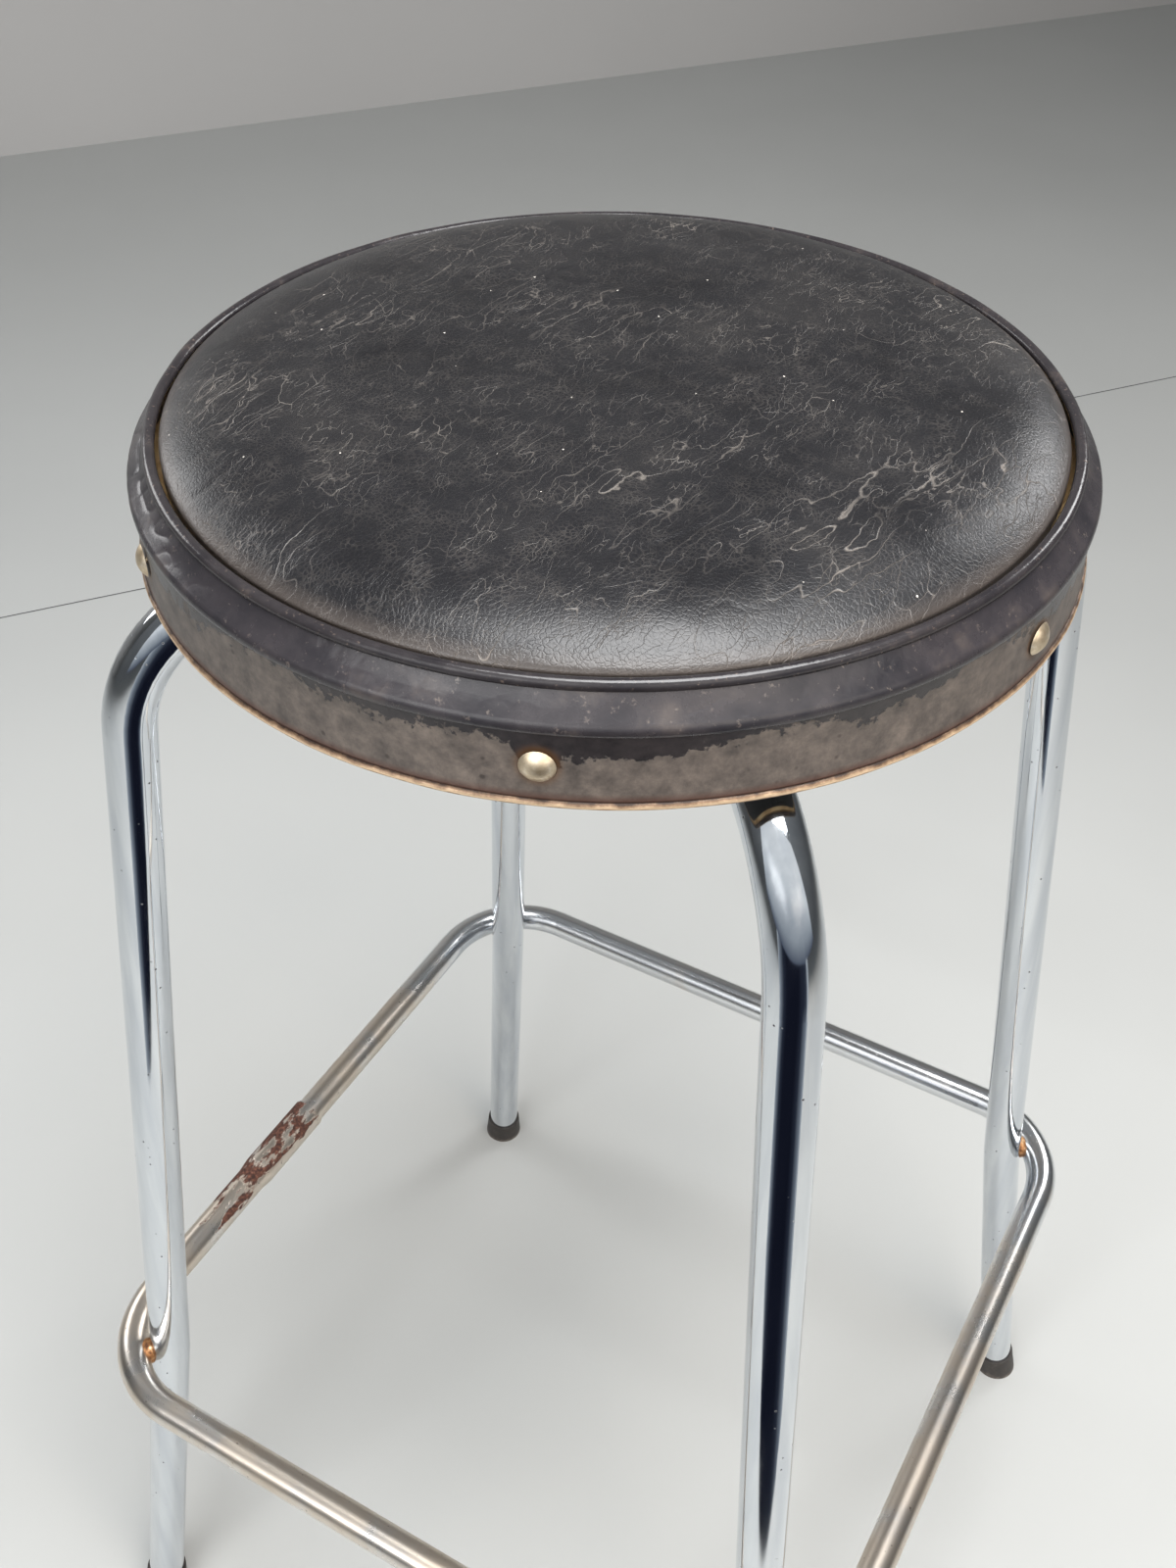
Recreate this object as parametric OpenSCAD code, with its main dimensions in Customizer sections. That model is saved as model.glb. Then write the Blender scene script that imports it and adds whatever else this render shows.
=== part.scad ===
// Bar stool with a round upholstered seat, four bent tube legs and a square footrest ring.
// Millimetres, +Z up. The origin is on the floor, under the middle of the four legs.

/* [Seat] */
// Outer diameter of the seat, over the trim at its lower edge
seat_d = 332; // [276:1:400]
// Height of the seat's lower edge above the floor
seat_z = 718; // [590:1:870]
// How far the seat board sits off the middle of the frame, left to right
seat_shift_x = -3.5; // [-6:0.5:6]
// How far the seat board sits off the middle of the frame, front to back
seat_shift_y = -4; // [-6:0.5:6]
// Thickness of the plywood seat board
board_t = 20; // [16:0.5:26]
// Depth of the foam at the seat's edge, from the board up to the shoulder
edge_foam = 7.5; // [5:0.5:14]
// Thickness of the leather
leather_t = 1.8; // [1.2:0.1:2.5]
// Rise of the domed top panel above its seam
dome_h = 12; // [4:0.5:20]
// Radial width of the sloping band between the seam and the wall
shoulder_w = 11; // [9:0.5:16]
// Height of the sloping band between the seam and the wall
shoulder_h = 10.5; // [8:0.5:14]
// Diameter of the piping that stands in the seam
welt_d = 4.4; // [3:0.2:5]
// Number of nails around the wall
nail_count = 6; // [4:1:24]
// Diameter of a nail's domed head
nail_head_d = 11; // [8:0.5:14]
// Bearing of the first nail
nail_turn = -8.5; // [-30:0.5:30]

/* [Legs] */
// Outer diameter of the leg tubes
leg_d = 20; // [16:0.5:25]
// Wall thickness of the leg tubes
leg_wall = 1.5; // [1:0.1:2.5]
// Distance from the middle of the stool to a leg's axis at the height of the footrest
leg_reach = 234; // [195:1:285]
// Lean of a leg above the footrest
upper_lean = 6.8; // [3:0.1:8.8]
// Lean of a leg below the footrest
lower_lean = 9.3; // [7.2:0.1:12]
// Radius of the bend that takes a leg in under the seat
leg_bend_r = 62; // [50:1:78]
// Radius of the slight bend at the footrest
kink_r = 120; // [80:5:200]

/* [Footrest] */
// Outer diameter of the footrest tube
ring_d = 16; // [13:0.1:20]
// Wall thickness of the footrest tube
ring_wall = 1.5; // [1:0.1:2.5]
// Height of the footrest's axis above the floor
ring_z = 250; // [205:1:305]
// Radius of the footrest's four corners, to the tube's axis
ring_corner_r = 50; // [40:1:75]
// How much the socket where the tube's two ends meet stands out around the tube
swage_step = 1; // [0.6:0.1:2]
// Length of that socket
swage_l = 46; // [30:1:60]

/* [Feet] */
// Height of a rubber foot up the leg
foot_h = 19; // [15:0.5:30]
// Thickness of the rubber around the tube at a foot's mouth
foot_wall = 1.2; // [1:0.1:4]
// How much a rubber foot widens down to the floor, in radius
foot_flare = 1.3; // [0.5:0.1:3]
// Thickness of the rubber under the tube
foot_floor_t = 5; // [3:0.5:8]

/* [Mounting] */
// Diameter of the steel plate that the legs are welded to
plate_d = 150; // [120:5:180]
// Thickness of that plate
plate_t = 3; // [2:0.5:5]
// Radius of the circle of seat screws
screw_reach = 55; // [45:1:60]
// Shank diameter of the seat screws
screw_d = 5; // [4:0.5:6]
// Length of the seat screws below the head
screw_l = 18; // [14:1:20]

/* [Hidden] */
$fn = 96;

// Clearance between two round surfaces that only just touch
near = 0.3;
// Clearance of a shank in its hole
slip = 0.1;
// How far a bend laps over the straight tube at each end, and how much it swells there
lap = 0.1;
swell = 0.01;

// Small sizes of the seat: each is a step, a gap or a thickness
board_lift = 2;
cover_t = 0.8;
cover_inset = 2;
trim_r = 1.3;
shoulder_in = 0.5;
wall_in = 1.2;
groove_w = 1;
groove_depth = 5;
welt_gap = 0.2;
band_skirt = 3;
// How square the dome's rim is, and the points that its outline is drawn with
dome_power = 10;
dome_steps = 40;

// Seat profile: radii from the seat's own middle and heights above the floor
seat_r = seat_d / 2;
shoulder_r = seat_r - shoulder_in;
wall_r = seat_r - wall_in;
board_r = wall_r - leather_t - slip;
wall_h = board_lift + board_t + edge_foam;
shoulder_z = seat_z + wall_h;
wall_top = shoulder_z - band_skirt;
seam_r = shoulder_r - shoulder_w;
seam_z = shoulder_z + shoulder_h;
board_z = seat_z + board_lift;
board_top = board_z + board_t;
panel_r = seam_r - groove_w;
welt_r = seam_r + welt_d / 2 + welt_gap;
welt_z = seam_z - welt_d / 4;
groove_z = seam_z - groove_depth;
nail_z = seat_z + wall_h / 2;

// Fasteners
nail_shank_d = 2;
nail_shank_l = 14;
nail_head_h = 2.6;
washer_t = 1.2;
washer_d = 12;
screw_bite = screw_l - washer_t - plate_t - cover_t;

// Frame heights and the leg's path, in a plane that stands on the leg's bearing
plate_z = board_z - cover_t - plate_t;
run_z = plate_z - leg_d / 2;
leg_count = 4;
// Where a leg's upper end stops, short of the middle
run_end = 24;
upper_sweep = 90 - upper_lean;
kink_sweep = lower_lean - upper_lean;
kink_half = kink_r * tan(kink_sweep / 2);
foot_reach = leg_reach + ring_z * tan(lower_lean);
bend_half = leg_bend_r * tan(upper_sweep / 2);
knee_reach = leg_reach - (run_z - ring_z) * tan(upper_lean);
upper_l = (run_z - ring_z) / cos(upper_lean) - kink_half - bend_half;
run_l = knee_reach - bend_half - run_end;
foot_washer_t = 1.5;
tube_start = foot_floor_t + foot_washer_t;
lower_l = ring_z / cos(lower_lean) - kink_half - tube_start;

// The footrest's corners stand outside the legs, a hair's breadth off them
ring_touch = leg_reach + (leg_d / 2 + ring_d / 2 + near) / cos(lower_lean);
ring_half = (ring_touch - ring_corner_r) / sqrt(2) + ring_corner_r;
ring_side = 2 * (ring_half - ring_corner_r);
// Where the socket's mouth is, along the footrest's left side
joint_y = -10;
swage_d = ring_d + 2 * swage_step;
foot_top_d = leg_d + 2 * foot_wall;
foot_base_d = foot_top_d + 2 * foot_flare;

function bearing(i) = 45 + 90 * i;

// Height of the dome's outer face at a radius
function dome_z(r) = seam_z + dome_h * (1 - pow(r / panel_r, dome_power));

// Points along the dome from the middle to its edge, lowered by an amount
function dome_line(drop, reach) =
    [for (i = [0:dome_steps]) let (r = reach * sqrt(i / dome_steps)) [r, dome_z(r) - drop]];

// Points of a circular arc, from one angle to another
function arc(x, y, r, from, to, steps) =
    [for (i = [0:steps]) let (a = from + (to - from) * i / steps) [x + r * cos(a), y + r * sin(a)]];

function reversed(list) = [for (i = [len(list) - 1:-1:0]) list[i]];

// ---- Shared shapes ----

module on_seat() {
    translate([seat_shift_x, seat_shift_y, 0]) children();
}

// Part of a torus that starts at the origin heading up and curves toward -X
module tube_bend(r, bend_r, sweep) {
    lap_angle = lap / bend_r * 180 / PI;
    translate([-bend_r, 0, 0])
        rotate([90, 0, 0])
            rotate([0, 0, -lap_angle])
                rotate_extrude(angle = sweep + 2 * lap_angle)
                    translate([bend_r, 0])
                        circle(r = r + swell);
}

// Moves its children to the far end of such a bend
module after_bend(bend_r, sweep) {
    translate([-bend_r * (1 - cos(sweep)), 0, bend_r * sin(sweep)])
        rotate([0, -sweep, 0])
            children();
}

// Stands its children on a leg's axis line where it meets the floor, heading up the leg
module at_foot(i) {
    rotate([0, 0, bearing(i)])
        translate([foot_reach, 0, 0])
            rotate([0, -lower_lean, 0])
                children();
}

// One leg's whole path at a given radius; over lengthens both ends
module leg_path(r, over) {
    translate([0, 0, tube_start - over]) cylinder(r = r, h = lower_l + over);
    translate([0, 0, tube_start + lower_l]) {
        mirror([1, 0, 0]) tube_bend(r, kink_r, kink_sweep);
        mirror([1, 0, 0]) after_bend(kink_r, kink_sweep) mirror([1, 0, 0]) {
            cylinder(r = r, h = upper_l);
            translate([0, 0, upper_l]) {
                tube_bend(r, leg_bend_r, upper_sweep);
                after_bend(leg_bend_r, upper_sweep) cylinder(r = r, h = run_l + over);
            }
        }
    }
}

module ring_section() {
    difference() {
        circle(d = ring_d);
        circle(r = ring_d / 2 - ring_wall);
    }
}

// One side and one corner of the footrest's tube
module ring_quarter() {
    translate([ring_half, -ring_side / 2, ring_z])
        rotate([-90, 0, 0])
            linear_extrude(ring_side)
                ring_section();
    translate([ring_side / 2, ring_side / 2, ring_z])
        rotate_extrude(angle = 90)
            translate([ring_corner_r, 0])
                ring_section();
}

module at_screws() {
    for (i = [0:3]) rotate([0, 0, 90 * i]) translate([screw_reach, 0, 0]) children();
}

module at_nails() {
    on_seat()
        for (i = [0:nail_count - 1])
            rotate([0, 0, nail_turn + 360 * i / nail_count])
                translate([wall_r, 0, nail_z])
                    rotate([0, 90, 0])
                        children();
}

// ---- Seat ----

// Plywood disc with blind pilot holes for the seat screws and the nails
module seat_board() {
    color("burlywood")
        difference() {
            on_seat() translate([0, 0, board_z]) cylinder(r = board_r, h = board_t, $fn = 180);
            at_screws()
                translate([0, 0, board_z - 1])
                    cylinder(d = screw_d + 2 * slip, h = screw_bite + 2);
            at_nails()
                translate([0, 0, -nail_shank_l - 1])
                    cylinder(d = nail_shank_d + 2 * slip, h = nail_shank_l + 2);
        }
}

// Foam that fills the seat above the board, under the leather
module foam_pad() {
    inset = leather_t + near;
    rim = 0.6;
    corner_in = 0.9;
    corner_drop = 1.4;
    color("khaki")
        on_seat()
            rotate_extrude($fn = 180)
                polygon(concat(
                    dome_line(inset, panel_r - inset - rim),
                    [[panel_r - inset, groove_z - near],
                     [welt_r + welt_d / 2 + near, groove_z - near],
                     [shoulder_r - inset - corner_in, shoulder_z - corner_drop],
                     [board_r, wall_top],
                     [board_r, board_top],
                     [0, board_top]]));
}

// Domed leather panel, turned down into the seam all round
module top_panel() {
    lip_r = panel_r - leather_t;
    color("dimgray")
        on_seat()
            rotate_extrude($fn = 180)
                polygon(concat(
                    dome_line(0, panel_r),
                    [[panel_r, groove_z], [lip_r, groove_z]],
                    reversed(dome_line(leather_t, lip_r))));
}

// Piping that stands in the seam, with the flange by which it is sewn to the top panel's lip
module welt() {
    flange_top = seam_z - groove_depth / 2;
    flange_r = panel_r + slip;
    color("black")
        on_seat() {
            rotate_extrude($fn = 180)
                translate([welt_r, welt_z])
                    circle(d = welt_d - 2 * slip, $fn = 32);
            rotate_extrude($fn = 180)
                translate([flange_r, groove_z])
                    square([welt_r - flange_r, flange_top - groove_z]);
        }
}

// Slightly hollow band of leather from the seam down over the shoulder
module shoulder_band() {
    start_r = welt_r + welt_d / 2 + slip;
    fold_r = 1.6;
    fold_z = shoulder_z - 0.4;
    corner_z = shoulder_z - 1.2;
    steps = 8;
    sag = 0.5;
    top_z = seam_z - 1.2;
    hem_z = top_z - 1.2 * leather_t;
    hem_r = start_r + 0.3 * leather_t;
    edge_z = fold_z + fold_r;
    slope = [for (i = [0:steps]) let (t = i / steps)
        [start_r + t * (shoulder_r - fold_r - start_r),
         top_z + t * (edge_z - top_z) - sag * sin(180 * t)]];
    outer = concat(slope, arc(shoulder_r - fold_r, fold_z, fold_r, 60, 0, 6), [[shoulder_r, wall_top]]);
    inner = [[shoulder_r - leather_t, wall_top],
             [shoulder_r - leather_t, corner_z],
             [hem_r, hem_z],
             [start_r, hem_z]];
    color("black")
        on_seat()
            rotate_extrude($fn = 180)
                polygon(concat(outer, inner));
}

// Upright leather band, nailed to the edge of the board
module wall_band() {
    low_z = seat_z + 2 * trim_r;
    color("gray")
        difference() {
            on_seat()
                rotate_extrude($fn = 180)
                    polygon([[wall_r - leather_t, low_z], [wall_r, low_z], [wall_r, wall_top],
                             [wall_r - leather_t, wall_top]]);
            at_nails()
                translate([0, 0, -leather_t - 1])
                    cylinder(d = nail_shank_d + 2 * slip, h = leather_t + 2);
        }
}

// Half-round copper-coloured trim around the lower edge
module edge_trim() {
    inner_r = wall_r - leather_t;
    color("peru")
        on_seat()
            rotate_extrude($fn = 180)
                polygon(concat(
                    [[inner_r, seat_z]],
                    arc(seat_r - trim_r, seat_z + trim_r, trim_r, -90, 90, 12),
                    [[inner_r, seat_z + 2 * trim_r]]));
}

// One domed nail: head outside the leather, shank through it into the board
module nail() {
    tip_l = 2;
    head_r = nail_head_d / 2;
    dome_r = (head_r * head_r + nail_head_h * nail_head_h) / (2 * nail_head_h);
    half = asin(head_r / dome_r);
    rotate_extrude($fn = 48)
        polygon(concat(
            [[0, -nail_shank_l], [nail_shank_d / 2, -nail_shank_l + tip_l], [nail_shank_d / 2, slip]],
            [[head_r, slip]],
            arc(0, nail_head_h - dome_r + slip, dome_r, 90 - half, 90, 10)));
}

module rim_nails() {
    color("goldenrod") at_nails() nail();
}

// Thin black cloth stapled under the board
module dust_cover() {
    color("black")
        difference() {
            on_seat()
                translate([0, 0, board_z - cover_t])
                    cylinder(r = board_r - cover_inset, h = cover_t, $fn = 180);
            at_screws()
                translate([0, 0, board_z - cover_t - 1])
                    cylinder(d = screw_d + 2 * slip, h = cover_t + 2);
        }
}

// ---- Under the seat ----

// Round steel plate that the legs are welded to, screwed up into the board
module mounting_plate() {
    color("dimgray")
        difference() {
            translate([0, 0, plate_z]) cylinder(d = plate_d, h = plate_t);
            at_screws() translate([0, 0, plate_z - 1]) cylinder(d = screw_d + 2 * slip, h = plate_t + 2);
        }
}

// A weld along each side of each leg, in the corner between the tube and the plate
module plate_welds() {
    bead = 5;
    bead_l = 38;
    set_back = 6;
    out = (leg_d / 2) * cos(30) + bead / 2;
    color("slategray")
        for (i = [0:leg_count - 1])
            rotate([0, 0, bearing(i)])
                difference() {
                    for (side = [-1, 1])
                        translate([run_end + set_back, side * out - bead / 2, plate_z - bead])
                            cube([bead_l, bead, bead]);
                    translate([0, 0, run_z])
                        rotate([0, 90, 0])
                            cylinder(d = leg_d + 2 * slip, h = plate_d);
                    for (side = [-1, 1])
                        translate([0, side * (out + bead / 2), plate_z - bead])
                            rotate([side * 45, 0, 0])
                                translate([0, side > 0 ? 0 : -2 * bead, -bead])
                                    cube([plate_d, 2 * bead, 2 * bead]);
                }
}

module screw_washers() {
    color("silver")
        at_screws()
            translate([0, 0, plate_z - washer_t])
                difference() {
                    cylinder(d = washer_d, h = washer_t);
                    translate([0, 0, -1]) cylinder(d = screw_d + 2 * slip, h = washer_t + 2);
                }
}

// Pan-head wood screws with a cross slot
module seat_screws() {
    head_d = 9.5;
    head_h = 3.2;
    slot_w = 1.2;
    slot_l = 5;
    slot_depth = 1.6;
    tip_l = 4;
    tip_d = 1;
    color("silver")
        at_screws()
            translate([0, 0, plate_z - washer_t])
                difference() {
                    union() {
                        cylinder(d = screw_d, h = screw_l - tip_l);
                        translate([0, 0, screw_l - tip_l]) cylinder(d1 = screw_d, d2 = tip_d, h = tip_l);
                        translate([0, 0, -head_h]) cylinder(d1 = head_d - 2, d2 = head_d, h = head_h);
                    }
                    for (turn = [0, 90])
                        rotate([0, 0, turn])
                            translate([-slot_l / 2, -slot_w / 2, -head_h - 1])
                                cube([slot_l, slot_w, slot_depth + 1]);
                }
}

// ---- Legs and footrest ----

module leg(i) {
    color("lightsteelblue")
        at_foot(i)
            difference() {
                leg_path(leg_d / 2, 0);
                leg_path(leg_d / 2 - leg_wall, 1);
            }
}

// The footrest tube: one bent tube whose end is swaged out into a socket over its other end
module footrest_ring() {
    taper_l = 8;
    past_end = 1;
    color("tan") {
        for (i = [0:3]) rotate([0, 0, 90 * i]) ring_quarter();
        // The swaged part, bored to the middle of the tube's wall, where the two are one
        difference() {
            translate([-ring_half, joint_y, ring_z])
                rotate([90, 0, 0]) {
                    cylinder(d = swage_d, h = swage_l);
                    translate([0, 0, swage_l]) cylinder(d1 = swage_d, d2 = ring_d, h = taper_l);
                }
            translate([-ring_half, joint_y + past_end, ring_z])
                rotate([90, 0, 0])
                    cylinder(r = (ring_d - ring_wall) / 2, h = swage_l + taper_l + 2 * past_end);
        }
    }
}

// Braze metal that joins the footrest's corner to the outside of a leg
module braze(i) {
    size = 6.5;
    touch = ring_touch - ring_d / 2 - near / 2;
    color("saddlebrown")
        rotate([0, 0, bearing(i)])
            difference() {
                translate([touch, 0, ring_z]) sphere(r = size, $fn = 120);
                for (lean = [lower_lean, upper_lean])
                    translate([leg_reach, 0, ring_z])
                        rotate([0, -lean, 0])
                            cylinder(d = leg_d + slip, h = 4 * size, center = true, $fn = 240);
                translate([ring_touch - ring_corner_r, 0, ring_z])
                    rotate_extrude($fn = 720)
                        translate([ring_corner_r, 0])
                            circle(d = ring_d + slip, $fn = 240);
            }
}

// ---- Feet ----

// Tapered rubber foot pushed onto the tube, flat where it stands on the floor
module foot(i) {
    // The cone runs on below the floor, so that it is cut flat there all the way round
    below = 6;
    grow = (foot_base_d - foot_top_d) / foot_h;
    color("darkslategray")
        intersection() {
            at_foot(i)
                difference() {
                    translate([0, 0, -below])
                        cylinder(d1 = foot_base_d + grow * below, d2 = foot_top_d, h = foot_h + below);
                    translate([0, 0, foot_floor_t]) cylinder(d = leg_d + 2 * slip, h = foot_h);
                }
            translate([-foot_reach * 2, -foot_reach * 2, 0])
                cube([foot_reach * 4, foot_reach * 4, foot_h * 2]);
        }
}

// Steel washer inside each foot, between the end of the tube and the rubber
module foot_washers() {
    rim_gap = 0.2;
    bore_d = 6;
    color("silver")
        for (i = [0:leg_count - 1])
            at_foot(i)
                translate([0, 0, foot_floor_t])
                    difference() {
                        cylinder(d = leg_d - 2 * rim_gap, h = foot_washer_t);
                        translate([0, 0, -1]) cylinder(d = bore_d, h = foot_washer_t + 2);
                    }
}

seat_board();
foam_pad();
top_panel();
welt();
shoulder_band();
wall_band();
edge_trim();
rim_nails();
dust_cover();
mounting_plate();
plate_welds();
screw_washers();
seat_screws();
for (i = [0:leg_count - 1]) leg(i);
footrest_ring();
for (i = [0:leg_count - 1]) braze(i);
for (i = [0:leg_count - 1]) foot(i);
foot_washers();
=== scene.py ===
"""Bar stool with a round leather seat, four bent chrome legs and a square footrest ring, in metres, +Z up."""

import math

import bpy
import numpy as np
from mathutils import Matrix, Vector


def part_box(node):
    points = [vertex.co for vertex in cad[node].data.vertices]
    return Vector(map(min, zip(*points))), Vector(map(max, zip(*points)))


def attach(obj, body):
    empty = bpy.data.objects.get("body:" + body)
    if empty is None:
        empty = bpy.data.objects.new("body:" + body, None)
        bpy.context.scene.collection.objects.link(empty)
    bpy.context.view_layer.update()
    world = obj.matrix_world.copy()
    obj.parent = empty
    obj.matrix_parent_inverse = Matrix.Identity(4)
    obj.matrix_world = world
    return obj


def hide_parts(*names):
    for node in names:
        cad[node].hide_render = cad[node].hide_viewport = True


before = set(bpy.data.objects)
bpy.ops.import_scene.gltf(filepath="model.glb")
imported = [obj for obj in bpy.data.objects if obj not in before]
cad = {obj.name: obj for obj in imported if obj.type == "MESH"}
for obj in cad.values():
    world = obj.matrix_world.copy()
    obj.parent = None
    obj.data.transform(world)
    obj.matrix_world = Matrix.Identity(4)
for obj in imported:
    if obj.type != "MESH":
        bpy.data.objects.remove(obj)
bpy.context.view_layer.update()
MM = 0.001


# ---- Leg tubes ----
# Four cold-drawn steel tubes, bent in under the seat and plated with nickel and chrome.
# The plating is bright and hard, with fine drawing lines along the tube and scattered pinholes.


def linear(code):
    """A hex colour in linear light: each sRGB channel over 12.92 in the dark, else its 2.4 power curve."""
    srgb = np.array([int(code[i : i + 2], 16) for i in (1, 3, 5)]) / 255
    light = np.where(srgb <= 0.04045, srgb / 12.92, ((srgb + 0.055) / 1.055) ** 2.4)
    return (*light.tolist(), 1.0)


def add(material, kind, inputs=None, stops=None, **settings):
    """
    Adds a shader node: settings are its own choices, inputs its sockets' values or what feeds them, and
    stops a colour ramp's places and colours. Sockets of one name go by number: on a MapRange 1 to 4 are
    the range it reads and the range it gives, on a Mix 0 is the share, 2 and 3 the numbers, 6 and 7 the
    colours.
    """
    node = material.node_tree.nodes.new("ShaderNode" + kind)
    for name, value in settings.items():
        setattr(node, name, value)
    for socket, value in (inputs or {}).items():
        if isinstance(value, bpy.types.NodeSocket):
            material.node_tree.links.new(value, node.inputs[socket])
        else:
            node.inputs[socket].default_value = value
    if stops:
        ramp = node.color_ramp.elements
        while len(ramp) < len(stops):
            ramp.new(1.0)
        for element, (place, code) in zip(ramp, stops):
            element.position = place
            element.color = linear(code)
    return node


def start(name):
    """A new material, its surface shader and its Object coordinates."""
    material = bpy.data.materials.new(name)
    material.use_nodes = True
    shader = material.node_tree.nodes["Principled BSDF"]
    return material, shader, add(material, "TexCoord").outputs["Object"]


def cloudy(material, at, cell, detail=2.0, roughness=0.5):
    """Noise in patches of that size, under detail octaves of finer noise, each weaker by roughness."""
    return add(
        material, "TexNoise", {"Vector": at, "Scale": 1 / cell, "Detail": detail, "Roughness": roughness}
    )


def dress(names, material):
    """Gives CAD nodes their material."""
    for name in names:
        cad[name].data.materials.clear()
        cad[name].data.materials.append(material)


def scattered(material, at, cell, dot, some, most=1.0):
    """A mask of dots, one at a cell's own point, fading over the range dot, in cells past the range some."""
    cells = add(material, "TexVoronoi", {"Vector": at, "Scale": 1 / cell})
    near = add(material, "MapRange", {0: cells.outputs["Distance"], 1: dot[0], 2: dot[1], 3: most, 4: 0.0})
    chosen = add(material, "MapRange", {0: cells.outputs["Color"], 1: some[0], 2: some[1]})
    return add(material, "Math", {0: near.outputs[0], 1: chosen.outputs[0]}, operation="MULTIPLY").outputs[0]


chrome, shader, place = start("chrome-plated steel")
shader.inputs["Metallic"].default_value = 1.0
link = chrome.node_tree.links.new
# Drawing lines run along the tube: about 1 mm apart and 60 mm long
line_scale = (1 / (1.1 * MM), 1 / (1.1 * MM), 1 / (60 * MM))
long_lines = add(chrome, "Mapping", {"Vector": place, "Scale": line_scale})
drawn = cloudy(chrome, long_lines.outputs[0], 1.0, 1.0)
# Pinholes in the plating: up to 1 mm across, in about a third of the cells of a 5 mm grid
pit = scattered(chrome, place, 5 * MM, (0.05, 0.11), (0.62, 0.7))
# The plating's thickness varies in soft streaks, brighter where it is thick
long_haze = add(chrome, "Mapping", {"Vector": place, "Scale": (1 / (7 * MM), 1 / (7 * MM), 1 / (160 * MM))})
haze = cloudy(chrome, long_haze.outputs[0], 1.0, 4.0)
tone = add(chrome, "ValToRGB", {0: haze.outputs[0]}, [(0.35, "#ccd1d7"), (0.65, "#dde1e5")])
spotted = add(chrome, "Mix", {0: pit, 6: tone.outputs[0], 7: linear("#3b3230")}, data_type="RGBA")
link(spotted.outputs[2], shader.inputs["Base Color"])
gloss = add(chrome, "MapRange", {0: haze.outputs[0], 1: 0.3, 2: 0.75, 3: 0.05, 4: 0.11})
rough = add(chrome, "Math", {0: gloss.outputs[0], 1: pit}, operation="ADD")
link(rough.outputs[0], shader.inputs["Roughness"])
relief = add(chrome, "Bump", {"Height": drawn.outputs[0], "Strength": 0.06, "Distance": 0.04 * MM})
dents = add(
    chrome, "Bump", {"Height": pit, "Strength": 0.5, "Distance": -0.1 * MM, "Normal": relief.outputs[0]}
)
link(dents.outputs[0], shader.inputs["Normal"])
dress([f"leg_{i}" for i in (1, 2, 3, 4)], chrome)


# ---- Footrest ring ----
# One smaller tube bent into a rounded square, its end swaged out into a socket over its start.
# Shoes have worn the chrome to a warm satin, it is pitted, and rust has lifted it by the socket.

ring_low, ring_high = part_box("footrest_ring")
ring_z = (ring_low.z + ring_high.z) / 2
# Where the socket's mouth is on the left side
mouth_y = -10 * MM

worn_chrome, shader, place = start("worn nickel and chrome plating")
link = worn_chrome.node_tree.links.new
cloud = cloudy(worn_chrome, place, 30 * MM, 4.0, 0.5)
axes = add(worn_chrome, "SeparateXYZ", {0: place})
# The far side, from 0.06 to 0.17 m in y, is painted brighter, bluer and smoother
far_side = add(worn_chrome, "MapRange", {0: axes.outputs["Y"], 1: 0.06, 2: 0.17, 3: 0.0, 4: 0.35})
bright = add(worn_chrome, "Math", {0: cloud.outputs[0], 1: far_side.outputs[0]}, operation="ADD")
tone = add(
    worn_chrome, "ValToRGB", {0: bright.outputs[0]}, [(0.30, "#cbbeae"), (0.52, "#d8cec2"), (0.78, "#dfe1e3")]
)
grit = cloudy(worn_chrome, place, 1.6 * MM, 3.0)
speck = add(worn_chrome, "MapRange", {0: grit.outputs[0], 1: 0.69, 2: 0.75})
peppered = add(
    worn_chrome, "Mix", {0: speck.outputs[0], 6: tone.outputs[0], 7: linear("#5d4a3f")}, data_type="RGBA"
)
# Rust: on top of the tube on the left side, strongest just past the socket's mouth, thinning out both ways
left = add(worn_chrome, "MapRange", {0: axes.outputs["X"], 1: -0.16, 2: -0.18})
past = add(worn_chrome, "MapRange", {0: axes.outputs["Y"], 1: mouth_y + 1 * MM, 2: mouth_y - 1 * MM})
fade = add(worn_chrome, "MapRange", {0: axes.outputs["Y"], 1: mouth_y - 140 * MM, 2: mouth_y - 60 * MM})
before = add(worn_chrome, "MapRange", {0: axes.outputs["Y"], 1: mouth_y + 70 * MM, 2: mouth_y + 20 * MM})
fade_by = add(worn_chrome, "Math", {0: past.outputs[0], 1: fade.outputs[0]}, operation="MULTIPLY")
thin = add(worn_chrome, "Math", {0: before.outputs[0], 1: 0.35}, operation="MULTIPLY")
strong = add(worn_chrome, "Math", {0: fade_by.outputs[0], 1: thin.outputs[0]}, operation="MAXIMUM")
top = add(worn_chrome, "MapRange", {0: axes.outputs["Z"], 1: ring_z - 3 * MM, 2: ring_z + 4 * MM})
upper = add(worn_chrome, "Math", {0: left.outputs[0], 1: top.outputs[0]}, operation="MULTIPLY")
here = add(worn_chrome, "Math", {0: strong.outputs[0], 1: upper.outputs[0]}, operation="MULTIPLY")
drawn_out = add(worn_chrome, "Mapping", {"Vector": place, "Scale": (1.0, 0.35, 1.0)})
flakes = add(
    worn_chrome, "TexNoise",
    {"Vector": drawn_out.outputs[0], "Scale": 1 / (7 * MM), "Detail": 7.0, "Roughness": 0.6},
)
spread = add(worn_chrome, "MapRange", {0: here.outputs[0], 3: -0.25, 4: 0.13})
amount = add(worn_chrome, "Math", {0: flakes.outputs[0], 1: spread.outputs[0]}, operation="ADD")
rust = add(worn_chrome, "MapRange", {0: amount.outputs[0], 1: 0.56, 2: 0.60})
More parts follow.
